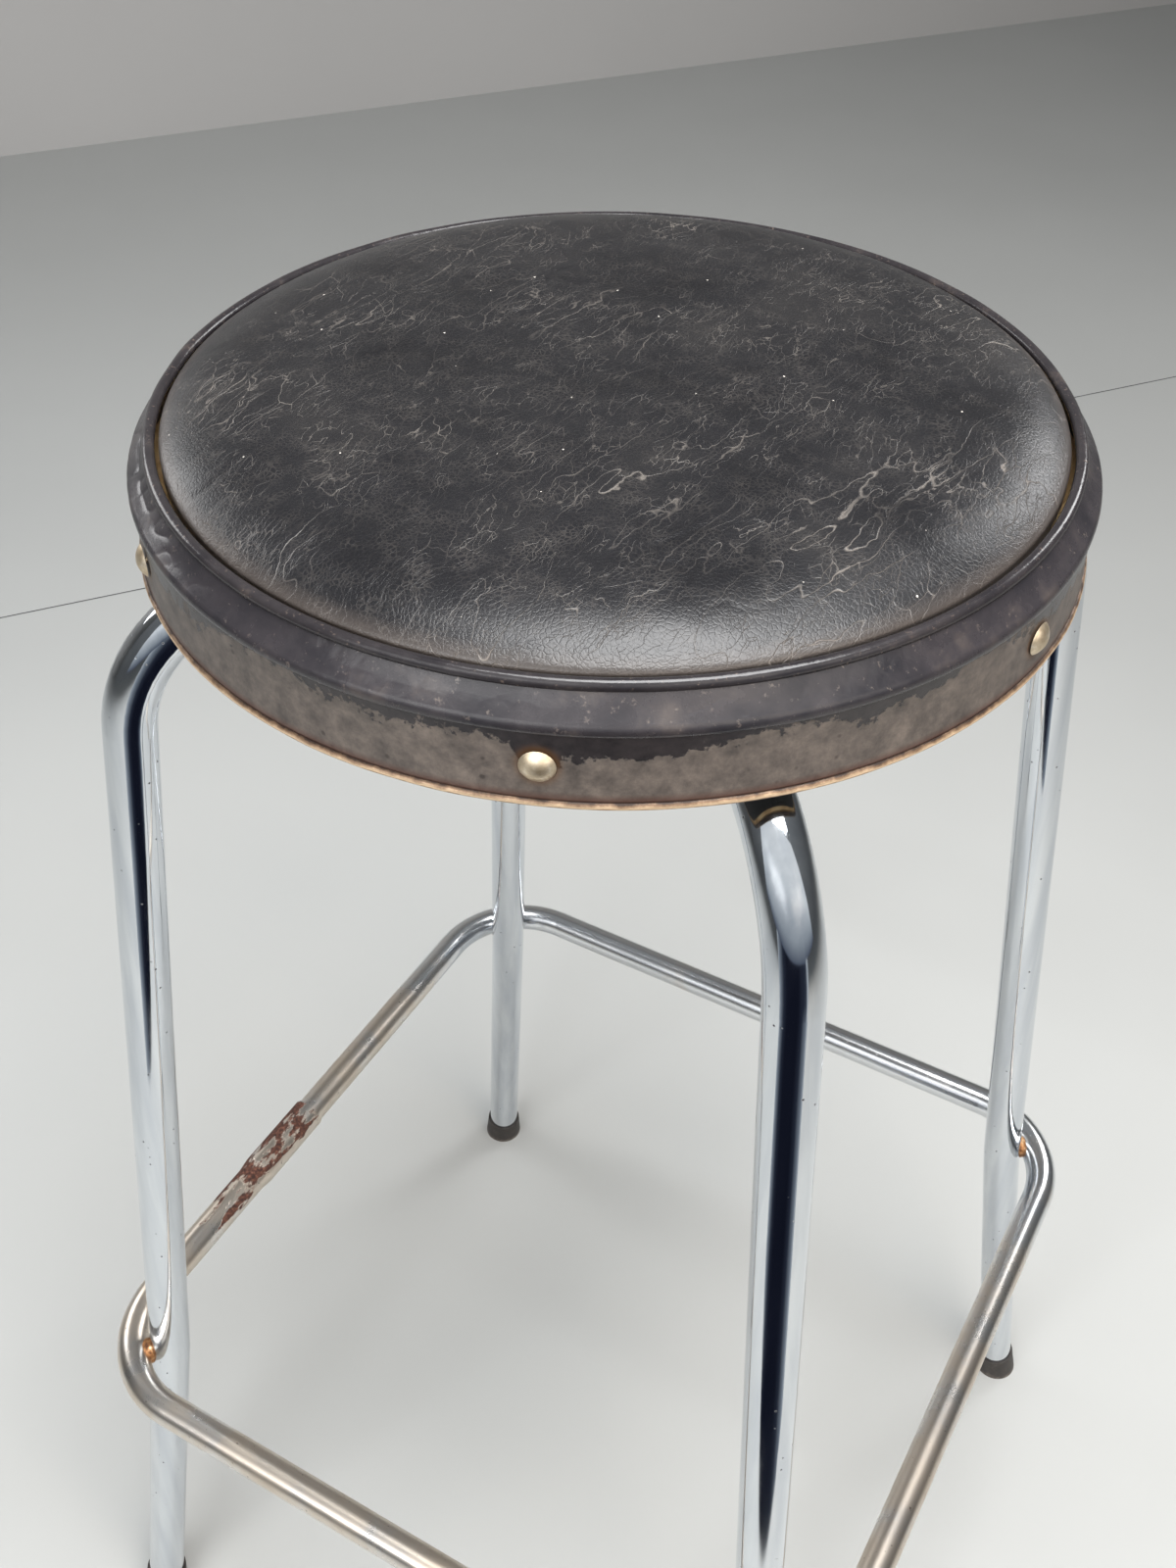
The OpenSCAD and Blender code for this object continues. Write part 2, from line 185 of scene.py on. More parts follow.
rust_tone = add(
    worn_chrome, "ValToRGB", {0: grit.outputs[0]}, [(0.35, "#3b2620"), (0.55, "#5f3c30"), (0.7, "#83594a")]
)
coloured = add(
    worn_chrome, "Mix",
    {0: rust.outputs[0], 6: peppered.outputs[2], 7: rust_tone.outputs[0]}, data_type="RGBA",
)
link(coloured.outputs[2], shader.inputs["Base Color"])
metal = add(worn_chrome, "Math", {0: 1.0, 1: rust.outputs[0]}, operation="SUBTRACT")
link(metal.outputs[0], shader.inputs["Metallic"])
dull = add(worn_chrome, "MapRange", {0: bright.outputs[0], 1: 0.3, 2: 0.8, 3: 0.40, 4: 0.20})
rough = add(worn_chrome, "Mix", {0: rust.outputs[0], 2: dull.outputs[0], 3: 0.85}, data_type="FLOAT")
link(rough.outputs[0], shader.inputs["Roughness"])
scale = add(worn_chrome, "Math", {0: grit.outputs[0], 1: rust.outputs[0]}, operation="MULTIPLY")
pitted = add(worn_chrome, "Bump", {"Height": speck.outputs[0], "Strength": 0.4, "Distance": -0.1 * MM})
flaking = add(
    worn_chrome, "Bump",
    {"Height": scale.outputs[0], "Strength": 0.8, "Distance": 0.4 * MM, "Normal": pitted.outputs[0]},
)
link(flaking.outputs[0], shader.inputs["Normal"])
dress(["footrest_ring"], worn_chrome)


# ---- Braze at the footrest's corners ----
# A bead of brass run into the gap between the ring and each leg, and plated over.
# The plating has let go of it, so it is brown and dull with orange rust around it.

braze, shader, place = start("oxidised brazing brass")
link = braze.node_tree.links.new
cloud = cloudy(braze, place, 2.5 * MM, 6.0)
tone = add(
    braze, "ValToRGB", {0: cloud.outputs[0]}, [(0.32, "#5a3a28"), (0.5, "#9a6d45"), (0.68, "#cdb08a")]
)
link(tone.outputs[0], shader.inputs["Base Color"])
shader.inputs["Metallic"].default_value = 0.7
rough = add(braze, "MapRange", {0: cloud.outputs[0], 1: 0.3, 2: 0.7, 3: 0.6, 4: 0.3})
link(rough.outputs[0], shader.inputs["Roughness"])
lumps = add(braze, "Bump", {"Height": cloud.outputs[0], "Strength": 0.7, "Distance": 0.5 * MM})
link(lumps.outputs[0], shader.inputs["Normal"])
dress([f"braze_{i}" for i in (1, 2, 3, 4)], braze)


# ---- Mounting plate and welds ----
# A round plate of sheet steel that the legs are welded to, sprayed black before the seat went on.
# The paint is thin and satin, rubbed to grey at the edge, and the weld beads are bare and rippled.

plate_paint, shader, place = start("thin black paint on sheet steel")
link = plate_paint.node_tree.links.new
cloud = cloudy(plate_paint, place, 14 * MM, 7.0, 0.65)
tone = add(
    plate_paint, "ValToRGB", {0: cloud.outputs[0]}, [(0.35, "#1c1b1b"), (0.58, "#2e2c2b"), (0.72, "#6a625b")]
)
link(tone.outputs[0], shader.inputs["Base Color"])
rough = add(plate_paint, "MapRange", {0: cloud.outputs[0], 3: 0.35, 4: 0.65})
link(rough.outputs[0], shader.inputs["Roughness"])
peel = cloudy(plate_paint, place, 0.9 * MM)
skin = add(plate_paint, "Bump", {"Height": peel.outputs[0], "Strength": 0.3, "Distance": 0.1 * MM})
link(skin.outputs[0], shader.inputs["Normal"])
dress(["mounting_plate"], plate_paint)

weld, shader, place = start("bare arc weld")
link = weld.node_tree.links.new
ripples = add(weld, "TexWave", {"Vector": place, "Scale": 1 / (9 * MM), "Distortion": 6.0, "Detail": 2.0})
tone = add(weld, "ValToRGB", {0: ripples.outputs[0]}, [(0.2, "#4a4441"), (0.6, "#7d756e"), (0.9, "#a39a90")])
link(tone.outputs[0], shader.inputs["Base Color"])
shader.inputs["Metallic"].default_value = 1.0
shader.inputs["Roughness"].default_value = 0.45
beads = add(weld, "Bump", {"Height": ripples.outputs[0], "Strength": 0.8, "Distance": 0.6 * MM})
link(beads.outputs[0], shader.inputs["Normal"])
dress(["plate_welds"], weld)


# ---- Rubber feet and their washers ----
# Tapered black rubber cups, moulded and pushed onto the tube ends, with a steel washer inside.
# The rubber is matt and brown-black, scuffed grey around the floor edge.

rubber, shader, place = start("moulded black rubber")
link = rubber.node_tree.links.new
axes = add(rubber, "SeparateXYZ", {0: place})
cloud = cloudy(rubber, place, 5 * MM, 6.0, 0.7)
low = add(rubber, "MapRange", {0: axes.outputs["Z"], 1: 5 * MM, 2: 0.0, 3: 0.0, 4: 0.3})
scuff = add(rubber, "Math", {0: cloud.outputs[0], 1: low.outputs[0]}, operation="ADD")
tone = add(rubber, "ValToRGB", {0: scuff.outputs[0]}, [(0.4, "#2a2624"), (0.6, "#3a3532"), (0.85, "#6f6861")])
link(tone.outputs[0], shader.inputs["Base Color"])
rough = add(rubber, "MapRange", {0: cloud.outputs[0], 3: 0.4, 4: 0.75})
link(rough.outputs[0], shader.inputs["Roughness"])
grain = cloudy(rubber, place, 0.8 * MM)
skin = add(rubber, "Bump", {"Height": grain.outputs[0], "Strength": 0.35, "Distance": 0.1 * MM})
link(skin.outputs[0], shader.inputs["Normal"])
dress([f"foot_{i}" for i in (1, 2, 3, 4)], rubber)

washer, shader, place = start("stamped steel washer")
link = washer.node_tree.links.new
cloud = cloudy(washer, place, 3 * MM, 4.0)
tone = add(washer, "ValToRGB", {0: cloud.outputs[0]}, [(0.35, "#7c7873"), (0.65, "#b4b1ab")])
link(tone.outputs[0], shader.inputs["Base Color"])
shader.inputs["Metallic"].default_value = 1.0
shader.inputs["Roughness"].default_value = 0.4
dress(["foot_washers"], washer)


# ---- Seat board, dust cover and screws ----
# A disc of birch plywood, with thin black cambric stapled under it to keep the dust in.
# Four zinc-plated screws with flat washers hold it down on the mounting plate.

plywood, shader, place = start("birch plywood")
link = plywood.node_tree.links.new
# Growth rings show as bands 9 mm apart along the board, and the plies 1.5 mm apart on its edge
long_way = add(plywood, "Mapping", {"Vector": place, "Scale": (1 / (9 * MM), 1 / (90 * MM), 1 / (1.5 * MM))})
figure = add(
    plywood, "TexNoise", {"Vector": long_way.outputs[0], "Scale": 1.0, "Detail": 4.0, "Distortion": 0.6}
)
tone = add(
    plywood, "ValToRGB", {0: figure.outputs[0]}, [(0.3, "#9c7a4e"), (0.5, "#c5a374"), (0.7, "#dcc193")]
)
link(tone.outputs[0], shader.inputs["Base Color"])
shader.inputs["Roughness"].default_value = 0.7
fibre = add(plywood, "Bump", {"Height": figure.outputs[0], "Strength": 0.3, "Distance": 0.2 * MM})
link(fibre.outputs[0], shader.inputs["Normal"])
dress(["seat_board"], plywood)

cambric, shader, place = start("black cambric")
link = cambric.node_tree.links.new
# The weave is drawn at 1.2 mm a thread so that it shows; a wave node has 20 / (2 pi) bands to its scale
threads = 1 / (1.2 * MM * 20 / (2 * math.pi))
warp = add(cambric, "TexWave", {"Vector": place, "Scale": threads, "Distortion": 0.6}, bands_direction="X")
weft = add(cambric, "TexWave", {"Vector": place, "Scale": threads, "Distortion": 0.6}, bands_direction="Y")
weave = add(cambric, "Math", {0: warp.outputs[0], 1: weft.outputs[0]}, operation="MULTIPLY")
tone = add(cambric, "ValToRGB", {0: weave.outputs[0]}, [(0.0, "#161515"), (1.0, "#35322f")])
link(tone.outputs[0], shader.inputs["Base Color"])
shader.inputs["Roughness"].default_value = 0.9
cloth = add(cambric, "Bump", {"Height": weave.outputs[0], "Strength": 0.6, "Distance": 0.2 * MM})
link(cloth.outputs[0], shader.inputs["Normal"])
dress(["dust_cover"], cambric)

zinc, shader, place = start("zinc-plated steel")
link = zinc.node_tree.links.new
cloud = cloudy(zinc, place, 2 * MM, 4.0)
tone = add(zinc, "ValToRGB", {0: cloud.outputs[0]}, [(0.35, "#8d8c86"), (0.65, "#c3c2bb")])
link(tone.outputs[0], shader.inputs["Base Color"])
shader.inputs["Metallic"].default_value = 1.0
rough = add(zinc, "MapRange", {0: cloud.outputs[0], 3: 0.25, 4: 0.5})
link(rough.outputs[0], shader.inputs["Roughness"])
dress(["seat_screws"], zinc)
dress(["screw_washers"], zinc)


# ---- Seat pad: the domed top panel over its foam ----
# A disc of black leather drawn tight over a foam pad and turned down into the seam all round.
# Years of use have creased it: the coating has cracked along the creases and rubbed pale on them.

trim_low, trim_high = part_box("edge_trim")
seat_x, seat_y = (trim_low.x + trim_high.x) / 2, (trim_low.y + trim_high.y) / 2
seat_r = (trim_high.x - trim_low.x) / 2
panel_low, panel_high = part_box("top_panel")
panel_r = (panel_high.x - panel_low.x) / 2
dome_h = 12 * MM
seam_z = panel_high.z - dome_h
groove_z = panel_low.z
rim_power = 10
# The share of the outline that the crown takes; the rest goes down the lip
crown_way = 0.96
# Grid squares from the middle to the rim
steps = 140


def mesh_object(name, points, faces):
    """A smooth-shaded mesh object, from an array of points and an array or a list of faces."""
    mesh = bpy.data.meshes.new(name)
    corners = faces.tolist() if isinstance(faces, np.ndarray) else faces
    mesh.from_pydata(np.asarray(points).reshape(-1, 3).tolist(), [], corners)
    mesh.polygons.foreach_set("use_smooth", np.ones(len(mesh.polygons), bool))
    mesh.update()
    made = bpy.data.objects.new(name, mesh)
    bpy.context.scene.collection.objects.link(made)
    return made


def grid_faces(rows, columns, wrap_rows=False, wrap_columns=False):
    """Quads of a grid of points: each joins a point to the next in its row and in the row after."""
    i = np.arange(rows if wrap_rows else rows - 1)[:, None]
    j = np.arange(columns if wrap_columns else columns - 1)[None, :]
    below, right = (i + 1) % rows, (j + 1) % columns
    quads = [i * columns + j, i * columns + right, below * columns + right, below * columns + j]
    return np.stack([np.broadcast_to(q, (i.size, j.size)) for q in quads], -1).reshape(-1, 4)


def noise(x, y, cell, seed):
    """Smooth noise from 0 to 1: random heights on a square lattice of that cell, blended by smoothstep."""
    table = np.random.default_rng(seed).random((256, 256))
    u, v = x / cell + 1000.5, y / cell + 1000.5
    i, j = np.floor(u).astype(int), np.floor(v).astype(int)
    s, t = u - i, v - j
    s, t = s * s * (3 - 2 * s), t * t * (3 - 2 * t)
    i, j, k, m = i % 256, j % 256, (i + 1) % 256, (j + 1) % 256
    top = table[i, j] * (1 - s) + table[k, j] * s
    bottom = table[i, m] * (1 - s) + table[k, m] * s
    return top * (1 - t) + bottom * t


def dome(share):
    """Height over the seam at a share of the panel's radius: a flat crown that rolls over at its rim."""
    return dome_h * (1 - share**rim_power)


def panel_outline(way):
    """Radius and height at each share of the way from the crown (0) over the rim and down the lip (1)."""
    share = np.clip(way / crown_way, 0, 1)
    down = np.clip((way - crown_way) / (1 - crown_way), 0, 1)
    radius = (panel_r - 0.1 * MM) * share
    return radius, seam_z + dome(share) + (groove_z - seam_z) * down


# A square grid bent to a disc: each square ring of points becomes a circle whose way is its share of the
# grid's half side, and a point's turn grows evenly along each side, so there is no pole
side = np.linspace(-1, 1, 2 * steps + 1)
u, v = np.meshgrid(side, side, indexing="ij")
way = np.maximum(np.abs(u), np.abs(v))
wide = np.abs(u) >= np.abs(v)
with np.errstate(divide="ignore", invalid="ignore"):
    turn = np.where(wide, math.pi / 4 * v / u, math.pi / 2 - math.pi / 4 * u / v)
turn = np.nan_to_num(turn) + np.where(np.where(wide, u, v) < 0, math.pi, 0)
radius, height = panel_outline(way)
pad_points = np.stack([seat_x + radius * np.cos(turn), seat_y + radius * np.sin(turn), height], -1)
count = 2 * steps + 1
# The outermost points in order round the rim, joined to one point in the middle of the underside
rim_loop = np.concatenate(
    [
        np.arange(count),
        np.arange(1, count) * count + count - 1,
        np.arange(count - 2, -1, -1) + (count - 1) * count,
        np.arange(count - 2, 0, -1) * count,
    ]
)
under = count * count
underside = np.stack([rim_loop, np.roll(rim_loop, -1), np.full_like(rim_loop, under)], -1)
pad_faces = grid_faces(count, count)[:, ::-1].tolist() + underside.tolist()
seat_pad = mesh_object(
    "seat_pad", np.vstack([pad_points.reshape(-1, 3), [[seat_x, seat_y, groove_z]]]), pad_faces
)


def puffed_pad():
    """Cloth simulation of the pad: a coarse copy, held at its rim and underside and blown up from within."""
    columns, slack = 96, 0.95
    around = np.linspace(0, 2 * math.pi, columns + 1)[:-1]
    shares = np.array([1.0, 0.985, 0.96, 0.92, 0.85, 0.75, 0.6, 0.4, 0.2])[:, None]
    radius = panel_r * shares
    height = np.broadcast_to(seam_z + slack * dome(shares), (len(shares), columns))
    rings = np.stack([seat_x + radius * np.cos(around), seat_y + radius * np.sin(around), height], -1)
    bottom = rings[0].copy()
    bottom[:, 2] = groove_z
    middle = [[seat_x, seat_y, seam_z + slack * dome_h], [seat_x, seat_y, groove_z]]
    points = np.vstack([bottom, *rings, middle])
    rows = len(shares) + 1
    top, low = rows * columns, rows * columns + 1
    i = np.arange(columns)
    j = (i + 1) % columns
    last = (rows - 1) * columns
    crown_fan = np.stack([last + i, last + j, np.full(columns, top)], -1)
    under_fan = np.stack([j, i, np.full(columns, low)], -1)
    faces = grid_faces(rows, columns, wrap_columns=True).tolist() + crown_fan.tolist() + under_fan.tolist()
    pad = mesh_object("pad_for_cloth", points, faces)
    remesh = pad.modifiers.new("even", "REMESH")
    remesh.mode = "VOXEL"
    remesh.voxel_size = 5 * MM
    bpy.context.view_layer.objects.active = pad
    bpy.ops.object.modifier_apply(modifier="even")
    start_at = np.empty(len(pad.data.vertices) * 3)
    pad.data.vertices.foreach_get("co", start_at)
    start_at = start_at.reshape(-1, 3)
    out = np.hypot(start_at[:, 0] - seat_x, start_at[:, 1] - seat_y)
    held = pad.vertex_groups.new(name="held")
    fixed = np.flatnonzero((out > panel_r - 8 * MM) | (start_at[:, 2] < seam_z))
    held.add(fixed.tolist(), 1.0, "REPLACE")
    cloth = pad.modifiers.new("leather", "CLOTH")
    cloth.settings.vertex_group_mass = "held"
    cloth.settings.use_pressure = True
    cloth.settings.uniform_pressure_force = 4.0
    cloth.settings.tension_stiffness = 30
    cloth.settings.compression_stiffness = 30
    cloth.settings.bending_stiffness = 4
    cloth.settings.effector_weights.gravity = 0
    last_frame = 20
    cloth.point_cache.frame_start, cloth.point_cache.frame_end = 1, last_frame
    for number in range(1, last_frame + 1):
        bpy.context.scene.frame_set(number)
    bpy.ops.object.modifier_apply(modifier="leather")
    bpy.context.scene.frame_set(1)
    ended = np.empty(len(pad.data.vertices) * 3)
    pad.data.vertices.foreach_get("co", ended)
    moved = ended.reshape(-1, 3) - start_at
    far = np.linalg.norm(moved, axis=1, keepdims=True)
    most = 1.6 * MM
    capped = start_at + moved * np.minimum(1, most / np.maximum(far, 1e-9))
    pad.data.vertices.foreach_set("co", capped.ravel())
    return pad


puffed = puffed_pad()
smooth = puffed.modifiers.new("finer", "SUBSURF")
smooth.levels = smooth.render_levels = 1
crown = seat_pad.vertex_groups.new(name="crown")
crown.add(np.flatnonzero(way.ravel() < 0.9).tolist(), 1.0, "REPLACE")
wrap = seat_pad.modifiers.new("drawn over the foam", "SHRINKWRAP")
wrap.target = puffed
wrap.wrap_method = "PROJECT"
wrap.use_project_z = True
wrap.use_negative_direction = wrap.use_positive_direction = True
wrap.vertex_group = "crown"
drawn = np.empty(len(seat_pad.data.vertices) * 3)
seat_pad.data.vertices.foreach_get("co", drawn)
wanted = drawn.reshape(-1, 3).copy()
bpy.context.view_layer.objects.active = seat_pad
bpy.ops.object.modifier_apply(modifier="drawn over the foam")
bpy.data.objects.remove(puffed)
seat_pad.data.vertices.foreach_get("co", drawn)
# Full in the middle, and fading out by 0.86 of the way to the rim
rise = np.clip((0.86 - np.append(way.ravel(), 1.0)) / 0.4, 0, 1)[:, None]
wanted += (drawn.reshape(-1, 3) - wanted) * (3 - 2 * rise) * rise**2
seat_pad.data.vertices.foreach_set("co", wanted.ravel())
seat_pad.vertex_groups.clear()

# Creases: valleys along the lines where noise crosses its middle, longest along the grain of the wear
crease_turn = math.radians(70)
placed = np.empty(len(seat_pad.data.vertices) * 3)
seat_pad.data.vertices.foreach_get("co", placed)
placed = placed.reshape(-1, 3)
east, north = placed[:, 0] - seat_x, placed[:, 1] - seat_y
along = east * math.cos(crease_turn) + north * math.sin(crease_turn)
across = -east * math.sin(crease_turn) + north * math.cos(crease_turn)
bend = 14 * MM * (noise(east, north, 40 * MM, 3) - 0.5)
off_line = np.abs(noise(along * 0.35, across + bend, 11 * MM, 5) - 0.5)
valley = np.clip(1 - off_line / 0.05, 0, 1) * np.clip(noise(east, north, 34 * MM, 8) * 3 - 1.3, 0, 1)
soft = noise(east, north, 26 * MM, 11) - 0.5 + 0.5 * (noise(east, north, 12 * MM, 12) - 0.5)
share = np.hypot(east, north) / panel_r
on_top = np.clip((0.99 - share) / 0.06, 0, 1) * (placed[:, 2] > groove_z + 1 * MM)
placed[:, 2] += on_top * (0.5 * MM * soft - 0.25 * MM * valley)
seat_pad.data.vertices.foreach_set("co", placed.ravel())
# How far the leather is rubbed, from none at 0.965 of the radius to all at the rim
rubbed = seat_pad.data.attributes.new("rubbed", "FLOAT", "POINT")
rubbed.data.foreach_set("value", np.clip((share - 0.965) / 0.035, 0, 1).astype(np.float32))

leather, shader, place = start("aged black leather")
link = leather.node_tree.links.new


def bend_by(at, cell, detail, distance):
    """Coordinates that noise of that cell size pushes about, by up to half the distance each way."""
    drift = cloudy(leather, place, cell, detail)
    centred = add(
        leather, "VectorMath", {0: drift.outputs["Color"], 1: (0.5, 0.5, 0.5)}, operation="SUBTRACT"
    )
    push = add(leather, "VectorMath", {0: centred.outputs[0], "Scale": distance}, operation="SCALE")
    return add(leather, "VectorMath", {0: at, 1: push.outputs[0]}, operation="ADD").outputs[0]


# Slow noise bends everything so that no line runs straight, and finer noise makes the creases ragged
bent = bend_by(place, 30 * MM, 3.0, 14 * MM)
ragged = bend_by(bent, 4 * MM, 2.0, 1.3 * MM)
# Where the coating is more or less worn
patches = cloudy(leather, place, 55 * MM, 4.0, 0.6)


def creases(turned_by, length, spacing, width, power, missing, branched):
    """
    One size of crease, as a mask: the edges of cells stretched along it where it branches, else the lines
    where stretched noise is at its middle. A slower noise leaves some of it out.
    """
    turned = add(leather, "Mapping", {"Vector": ragged, "Rotation": (0, 0, math.radians(-turned_by))})
    stretched = add(
        leather, "Mapping", {"Vector": turned.outputs[0], "Scale": (1 / length, 1 / spacing, 1 / spacing)}
    )
    if branched:
        cells = add(
            leather, "TexVoronoi", {"Vector": stretched.outputs[0], "Scale": 1.0}, feature="DISTANCE_TO_EDGE"
        )
        away = cells.outputs["Distance"]
    else:
        field = cloudy(leather, stretched.outputs[0], 1.0, 1.0)
        middle = add(leather, "Math", {0: field.outputs[0], 1: 0.5}, operation="SUBTRACT")
        away = add(leather, "Math", {0: middle.outputs[0]}, operation="ABSOLUTE").outputs[0]
    line = add(leather, "MapRange", {0: away, 1: 0.0, 2: width, 3: power, 4: 0.0})
    where = cloudy(leather, turned.outputs[0], length, 3.0)
    some = add(leather, "MapRange", {0: where.outputs[0], 1: missing, 2: missing + 0.14})
    return add(leather, "Math", {0: line.outputs[0], 1: some.outputs[0]}, operation="MULTIPLY")


# Each size's turn in degrees, length, spacing, line width, strength, the noise level that leaves it out,
# and whether it branches
crease_sizes = (
    (84, 80 * MM, 12 * MM, 0.008, 0.66, 0.47, False),
    (104, 34 * MM, 9 * MM, 0.012, 0.70, 0.51, True),
    (80, 28 * MM, 4.5 * MM, 0.010, 0.55, 0.47, False),
    (97, 10 * MM, 2.6 * MM, 0.028, 0.40, 0.47, True),
)
layers = [creases(*kind) for kind in crease_sizes]
cracks = layers[0]
for layer in layers[1:]:
    cracks = add(leather, "Math", {0: cracks.outputs[0], 1: layer.outputs[0]}, operation="MAXIMUM")
worn_where = add(leather, "MapRange", {0: patches.outputs[0], 1: 0.38, 2: 0.60, 3: 0.15, 4: 1.0})
crack = add(leather, "Math", {0: cracks.outputs[0], 1: worn_where.outputs[0]}, operation="MULTIPLY")
# The grain's small plates, 1.7 mm across, pale in the joints between them
plates = add(leather, "TexVoronoi", {"Vector": bent, "Scale": 1 / (1.7 * MM)}, feature="DISTANCE_TO_EDGE")
joints = add(leather, "MapRange", {0: plates.outputs["Distance"], 1: 0.0, 2: 0.16, 3: 1.0, 4: 0.0})
fine = cloudy(leather, place, 9 * MM, 5.0)
fine_where = add(leather, "MapRange", {0: fine.outputs[0], 1: 0.45, 2: 0.7, 3: 0.01, 4: 0.10})
plate_line = add(leather, "Math", {0: joints.outputs[0], 1: fine_where.outputs[0]}, operation="MULTIPLY")
pale = add(leather, "Math", {0: crack.outputs[0], 1: plate_line.outputs[0]}, operation="MAXIMUM")
black = add(
    leather, "ValToRGB", {0: patches.outputs[0]}, [(0.34, "#131316"), (0.52, "#18181b"), (0.7, "#222122")]
)
creased = add(
    leather, "Mix", {0: pale.outputs[0], 6: black.outputs[0], 7: linear("#8b847d")}, data_type="RGBA"
)
# The rim is rubbed brown
rim = add(leather, "Attribute", attribute_name="rubbed")
rim_share = add(leather, "Math", {0: rim.outputs["Fac"], 1: 0.22}, operation="MULTIPLY")
rimmed = add(
    leather, "Mix", {0: rim_share.outputs[0], 6: creased.outputs[2], 7: linear("#7d726a")}, data_type="RGBA"
)
# Dust: a grain in some of the 6 mm cells
dust = scattered(leather, place, 6 * MM, (0.04, 0.07), (0.72, 0.75))
dusty = add(leather, "Mix", {0: dust, 6: rimmed.outputs[2], 7: linear("#d8d2ca")}, data_type="RGBA")
link(dusty.outputs[2], shader.inputs["Base Color"])
shine = add(leather, "MapRange", {0: patches.outputs[0], 1: 0.3, 2: 0.7, 3: 0.29, 4: 0.39})
rough = add(leather, "Mix", {0: pale.outputs[0], 2: shine.outputs[0], 3: 0.7}, data_type="FLOAT")
link(rough.outputs[0], shader.inputs["Roughness"])
pores = cloudy(leather, place, 0.7 * MM, 2.0)
pored = add(leather, "Bump", {"Height": pores.outputs[0], "Strength": 0.35, "Distance": 0.12 * MM})
grained = add(
    leather, "Bump",
    {"Height": joints.outputs[0], "Strength": 0.35, "Distance": -0.1 * MM, "Normal": pored.outputs[0]},
)
cracked = add(
    leather, "Bump",
    {"Height": crack.outputs[0], "Strength": 0.8, "Distance": -0.35 * MM, "Normal": grained.outputs[0]},
)
link(cracked.outputs[0], shader.inputs["Normal"])
seat_pad.data.materials.append(leather)
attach(seat_pad, "root")
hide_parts("top_panel", "foam_pad")


# ---- Piping in the seam ----
# A cord wrapped in a strip of the same leather, sewn into the seam so that it stands up beside it.
# Rubbing keeps its crown smooth and shiny.

welt_low, welt_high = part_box("welt")
welt_out = (welt_high.x - welt_low.x) / 2
welt_d = 4.2 * MM


def ring_grid(outline, columns):
    """
    A closed outline of (radius, height) carried round the seat's axis: every column of the grid is the
    outline at one turn. Returns each point's turn, radius and height.
    """
    around = np.linspace(0, 2 * math.pi, columns + 1)[:-1]
    turn = np.broadcast_to(around[None, :], (len(outline), columns))
    radius = np.broadcast_to(outline[:, :1], turn.shape)
    height = np.broadcast_to(outline[:, 1:], turn.shape)
    return turn, radius.copy(), height.copy()


def ring_object(name, turn, radius, height):
    """
    The mesh of such a grid, closed both ways: each point is its radius times the cosine and the sine of its
    turn, from the seat's axis, at its height. Its faces are outwards for an outline drawn clockwise.
    """
    points = np.stack([seat_x + radius * np.cos(turn), seat_y + radius * np.sin(turn), height], -1)
    return mesh_object(name, points, grid_faces(*turn.shape, wrap_rows=True, wrap_columns=True)[:, ::-1])


def arc(middle, radius, start_at, end_at, count):
    """Points of a circular arc round a middle (radius, height), between two angles in degrees."""
    angle = np.radians(np.linspace(start_at, end_at, count))
    return np.stack([middle[0] + radius * np.cos(angle), middle[1] + radius * np.sin(angle)], -1)


welt_outline = arc((welt_out - welt_d / 2, welt_high.z - welt_d / 2), welt_d / 2, 360, 0, 33)[:-1]
turn, radius, height = ring_grid(welt_outline, columns=720)
wobble = 0.25 * MM * (noise(turn * seat_r, turn * 0, 18 * MM, 21) - 0.5)
height = height + wobble
seat_welt = ring_object("seat_welt", turn, radius + wobble, height)

smooth_leather, shader, place = start("smooth black leather")
link = smooth_leather.node_tree.links.new
cloud = cloudy(smooth_leather, place, 17 * MM, 7.0, 0.65)
tone = add(
    smooth_leather, "ValToRGB", {0: cloud.outputs[0]},
    [(0.35, "#232124"), (0.6, "#2f2c2e"), (0.75, "#4a423e")],
)
scuffs = cloudy(smooth_leather, place, 1.7 * MM, 6.0, 0.7)
scuff = add(smooth_leather, "MapRange", {0: scuffs.outputs[0], 1: 0.60, 2: 0.72, 3: 0.0, 4: 0.6})
scuffed = add(
    smooth_leather, "Mix", {0: scuff.outputs[0], 6: tone.outputs[0], 7: linear("#7b6d64")}, data_type="RGBA"
)
link(scuffed.outputs[2], shader.inputs["Base Color"])
rough = add(smooth_leather, "MapRange", {0: cloud.outputs[0], 1: 0.3, 2: 0.7, 3: 0.12, 4: 0.28})
link(rough.outputs[0], shader.inputs["Roughness"])
wrinkles = cloudy(smooth_leather, place, 4 * MM, 5.0)
wrinkled = add(
    smooth_leather, "Bump", {"Height": wrinkles.outputs[0], "Strength": 0.35, "Distance": 0.4 * MM}
)
link(wrinkled.outputs[0], shader.inputs["Normal"])
seat_welt.data.materials.append(smooth_leather)
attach(seat_welt, "root")
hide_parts("welt")


# ---- Shoulder band ----
# A strip of leather from the seam out over the pad's shoulder, stretched slightly hollow.
# It wrinkles across where it is pulled down, and its outer edge is polished by use.

band_low, band_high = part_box("shoulder_band")
band_r = (band_high.x - band_low.x) / 2
wall_low, wall_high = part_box("wall_band")
shoulder_z = wall_high.z + 3 * MM
fold_r = 3.6 * MM
leather_t = 1.8 * MM
band_in = welt_out + 0.1 * MM - 1.2 * MM

